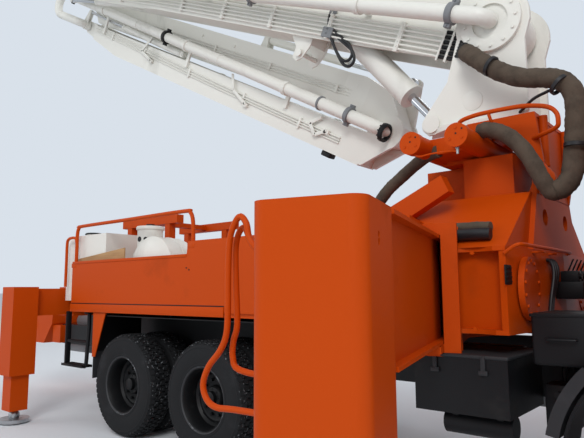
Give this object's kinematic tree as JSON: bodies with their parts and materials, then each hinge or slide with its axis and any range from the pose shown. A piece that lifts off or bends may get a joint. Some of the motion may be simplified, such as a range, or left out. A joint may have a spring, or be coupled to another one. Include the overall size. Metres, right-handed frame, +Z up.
{
  "type": "concrete pump truck",
  "caption": "Three-axle truck with a concrete pump, a rear hopper, splayed front legs, straight rear legs and a four-arm placing boom folded over its deck",
  "frame": {"origin": "ground level, at the middle of the overall length and width", "axes": "+X forward, +Y to the truck's left, +Z up"},
  "size_m": [11.3115, 6.2432, 7.3181],
  "materials": {
    "orange_paint": "satin, worn at edges",
    "cream_paint": "satin",
    "black_paint": "semi-matt",
    "tyre_rubber": "matt, snow-dusted",
    "grey_paint": "satin",
    "iron": "rough",
    "bright_rod": "polished",
    "glass": "clear, tinted",
    "cab_trim": "matt"
  },
  "bodies": {
    "carrier": {"chassis_frame": "black_paint", "engine": "iron", "cab_shell": "orange_paint", "cab_glass": "glass", "cab_interior": "cab_trim", "bumper": "orange_paint", "front_axle": "iron", "rear_axles": "iron", "mudguards": "black_paint", "battery_box": "black_paint", "fuel_tank": "grey_paint", "deck": "orange_paint", "railings": "orange_paint", "ladder": "black_paint", "boom_rest": "orange_paint", "water_drum": "cream_paint", "tail_tank": "cream_paint", "pedestal": "orange_paint", "slew_cylinders": "orange_paint", "pump_unit": "grey_paint", "hopper": "orange_paint", "rear_leg_beam": "orange_paint"},
    "door_right": {"door_right": "orange_paint"},
    "door_left": {"door_left": "orange_paint"},
    "knuckle_right": {"knuckle_right": "iron"},
    "knuckle_left": {"knuckle_left": "iron"},
    "wheel_front_right": {"wheel_front_right": "tyre_rubber"},
    "wheel_front_left": {"wheel_front_left": "tyre_rubber"},
    "wheel_mid_right": {"wheel_mid_right": "tyre_rubber"},
    "wheel_mid_left": {"wheel_mid_left": "tyre_rubber"},
    "wheel_rear_right": {"wheel_rear_right": "tyre_rubber"},
    "wheel_rear_left": {"wheel_rear_left": "tyre_rubber"},
    "grate": {"grate": "orange_paint"},
    "agitator": {"agitator": "iron"},
    "rear_leg_right": {"rear_leg_right": "orange_paint"},
    "rear_leg_left": {"rear_leg_left": "orange_paint"},
    "rear_jack_right": {"rear_jack_right": "orange_paint"},
    "rear_jack_left": {"rear_jack_left": "orange_paint"},
    "front_leg_right": {"front_leg_right": "orange_paint"},
    "front_leg_left": {"front_leg_left": "orange_paint"},
    "front_jack_right": {"front_jack_right": "orange_paint"},
    "front_jack_left": {"front_jack_left": "orange_paint"},
    "turret": {"turret": "cream_paint"},
    "lift_barrel": {"lift_barrel": "cream_paint"},
    "lift_rod": {"lift_rod": "bright_rod"},
    "fold2_barrel": {"fold2_barrel": "cream_paint"},
    "fold2_rod": {"fold2_rod": "bright_rod"},
    "fold3_barrel": {"fold3_barrel": "cream_paint"},
    "fold3_rod": {"fold3_rod": "bright_rod"},
    "fold4_barrel": {"fold4_barrel": "cream_paint"},
    "fold4_rod": {"fold4_rod": "bright_rod"},
    "arm_1": {"boom_1": "cream_paint", "pipe_1": "cream_paint"},
    "arm_2": {"boom_2": "cream_paint", "pipe_2": "cream_paint"},
    "arm_3": {"boom_3": "cream_paint", "pipe_3": "cream_paint"},
    "arm_4": {"boom_4": "cream_paint", "pipe_4": "cream_paint"}
  },
  "joints": [
    {"name": "door_right_hinge", "type": "hinge", "parent": "carrier", "child": "door_right", "pos_m": [5.38175, -1.206, 1.6], "axis": [0, 0, 1], "range_deg": [0, 65]},
    {"name": "steer_right", "type": "hinge", "parent": "carrier", "child": "knuckle_right", "pos_m": [4.25575, -0.85, 0.54], "axis": [0, 0, 1], "range_deg": [-32, 32]},
    {"name": "wheel_front_right_spin", "type": "hinge", "parent": "knuckle_right", "child": "wheel_front_right", "pos_m": [4.25575, -1.095, 0.54], "axis": [0, 1, 0], "continuous": true},
    {"name": "wheel_mid_right_spin", "type": "hinge", "parent": "carrier", "child": "wheel_mid_right", "pos_m": [0.45575, -0.92, 0.54], "axis": [0, 1, 0], "continuous": true},
    {"name": "wheel_rear_right_spin", "type": "hinge", "parent": "carrier", "child": "wheel_rear_right", "pos_m": [-0.84425, -0.92, 0.54], "axis": [0, 1, 0], "continuous": true},
    {"name": "rear_leg_right_slide", "type": "slide", "parent": "carrier", "child": "rear_leg_right", "axis": [0, -1, 0], "range_m": [-0.45, 0.7]},
    {"name": "rear_jack_right_slide", "type": "slide", "parent": "rear_leg_right", "child": "rear_jack_right", "axis": [0, 0, 1], "range_m": [-0.15, 0.45]},
    {"name": "front_leg_right_slide", "type": "slide", "parent": "carrier", "child": "front_leg_right", "axis": [0.2924, -0.9563, 0], "range_m": [-0.95, 0]},
    {"name": "front_jack_right_slide", "type": "slide", "parent": "front_leg_right", "child": "front_jack_right", "axis": [0, 0, 1], "range_m": [-0.15, 0.36]},
    {"name": "door_left_hinge", "type": "hinge", "parent": "carrier", "child": "door_left", "pos_m": [5.38175, 1.206, 1.6], "axis": [0, 0, -1], "range_deg": [0, 65]},
    {"name": "steer_left", "type": "hinge", "parent": "carrier", "child": "knuckle_left", "pos_m": [4.25575, 0.85, 0.54], "axis": [0, 0, 1], "range_deg": [-32, 32]},
    {"name": "wheel_front_left_spin", "type": "hinge", "parent": "knuckle_left", "child": "wheel_front_left", "pos_m": [4.25575, 1.095, 0.54], "axis": [0, 1, 0], "continuous": true},
    {"name": "wheel_mid_left_spin", "type": "hinge", "parent": "carrier", "child": "wheel_mid_left", "pos_m": [0.45575, 0.92, 0.54], "axis": [0, 1, 0], "continuous": true},
    {"name": "wheel_rear_left_spin", "type": "hinge", "parent": "carrier", "child": "wheel_rear_left", "pos_m": [-0.84425, 0.92, 0.54], "axis": [0, 1, 0], "continuous": true},
    {"name": "rear_leg_left_slide", "type": "slide", "parent": "carrier", "child": "rear_leg_left", "axis": [0, 1, 0], "range_m": [-0.45, 0.7]},
    {"name": "rear_jack_left_slide", "type": "slide", "parent": "rear_leg_left", "child": "rear_jack_left", "axis": [0, 0, 1], "range_m": [-0.15, 0.45]},
    {"name": "front_leg_left_slide", "type": "slide", "parent": "carrier", "child": "front_leg_left", "axis": [0.2924, 0.9563, 0], "range_m": [-0.95, 0]},
    {"name": "front_jack_left_slide", "type": "slide", "parent": "front_leg_left", "child": "front_jack_left", "axis": [0, 0, 1], "range_m": [-0.15, 0.36]},
    {"name": "hopper_grate_hinge", "type": "hinge", "parent": "carrier", "child": "grate", "pos_m": [-3.53425, 0, 1.535], "axis": [0, 1, 0], "range_deg": [0, 80]},
    {"name": "agitator_spin", "type": "hinge", "parent": "carrier", "child": "agitator", "pos_m": [-4.13425, 0, 1.02], "axis": [0, 1, 0], "continuous": true},
    {"name": "slew", "type": "hinge", "parent": "carrier", "child": "turret", "pos_m": [2.67575, 0, 2.7], "axis": [0, 0, 1], "range_deg": [0, 370]},
    {"name": "lift", "type": "hinge", "parent": "turret", "child": "arm_1", "pos_m": [2.96575, 0, 3.77], "axis": [0, 1, 0], "range_deg": [-22, 60]},
    {"name": "lift_barrel_pin", "type": "hinge", "parent": "arm_1", "child": "lift_barrel", "pos_m": [1.18883, 0, 4.45515], "axis": [0, 1, 0], "range_deg": [-15, 6]},
    {"name": "lift_rod_slide", "type": "slide", "parent": "lift_barrel", "child": "lift_rod", "axis": [0.6384, 0, -0.7697], "range_m": [-0.32, 0.85]},
    {"name": "fold_2", "type": "hinge", "parent": "arm_1", "child": "arm_2", "pos_m": [-4.52631, 0.5, 6.98776], "axis": [0, 1, 0], "range_deg": [-2.7, 177]},
    {"name": "fold2_barrel_pin", "type": "hinge", "parent": "arm_1", "child": "fold2_barrel", "pos_m": [-2.4303, 0, 5.9221], "axis": [0, 1, 0], "range_deg": [-12, 12]},
    {"name": "fold2_rod_slide", "type": "slide", "parent": "fold2_barrel", "child": "fold2_rod", "axis": [-0.9314, 0, 0.364], "range_m": [-0.05, 0.6]},
    {"name": "fold_3", "type": "hinge", "parent": "arm_2", "child": "arm_3", "pos_m": [1.58613, 0.5, 3.22071], "axis": [0, -1, 0], "range_deg": [-0.3, 178]},
    {"name": "fold3_barrel_pin", "type": "hinge", "parent": "arm_2", "child": "fold3_barrel", "pos_m": [-0.31383, 0.545, 4.9004], "axis": [0, 1, 0], "range_deg": [-12, 12]},
    {"name": "fold3_rod_slide", "type": "slide", "parent": "fold3_barrel", "child": "fold3_rod", "axis": [0.8835, 0, -0.4685], "range_m": [-0.15, 0.6]},
    {"name": "fold_4", "type": "hinge", "parent": "arm_3", "child": "arm_4", "pos_m": [-4.7747, 0.5, 6.48948], "axis": [0, 1, 0], "range_deg": [-1.2, 178]},
    {"name": "fold4_barrel_pin", "type": "hinge", "parent": "arm_3", "child": "fold4_barrel", "pos_m": [-1.90037, 0.355, 5.07744], "axis": [0, 1, 0], "range_deg": [-12, 12]},
    {"name": "fold4_rod_slide", "type": "slide", "parent": "fold4_barrel", "child": "fold4_rod", "axis": [-0.86, 0, 0.5103], "range_m": [-0.15, 0.6]}
  ],
  "couplings": [
    {"joint": "steer_left", "follows": "steer_right", "ratio": 1},
    {"joint": "lift_barrel_pin", "follows": "lift", "ratio": -0.24},
    {"joint": "lift_rod_slide", "follows": "lift", "m_per_rad": 0.80214},
    {"joint": "fold_2", "follows": "lift", "ratio": 0.12},
    {"joint": "fold2_barrel_pin", "follows": "lift", "ratio": 0.001197},
    {"joint": "fold2_rod_slide", "follows": "lift", "m_per_rad": 0.02742},
    {"joint": "fold_3", "follows": "lift", "ratio": 0.008},
    {"joint": "fold3_barrel_pin", "follows": "lift", "ratio": 0.000214},
    {"joint": "fold3_rod_slide", "follows": "lift", "m_per_rad": -0.004749},
    {"joint": "fold_4", "follows": "lift", "ratio": 0.04},
    {"joint": "fold4_barrel_pin", "follows": "lift", "ratio": -0.00081},
    {"joint": "fold4_rod_slide", "follows": "lift", "m_per_rad": -0.010069}
  ]
}
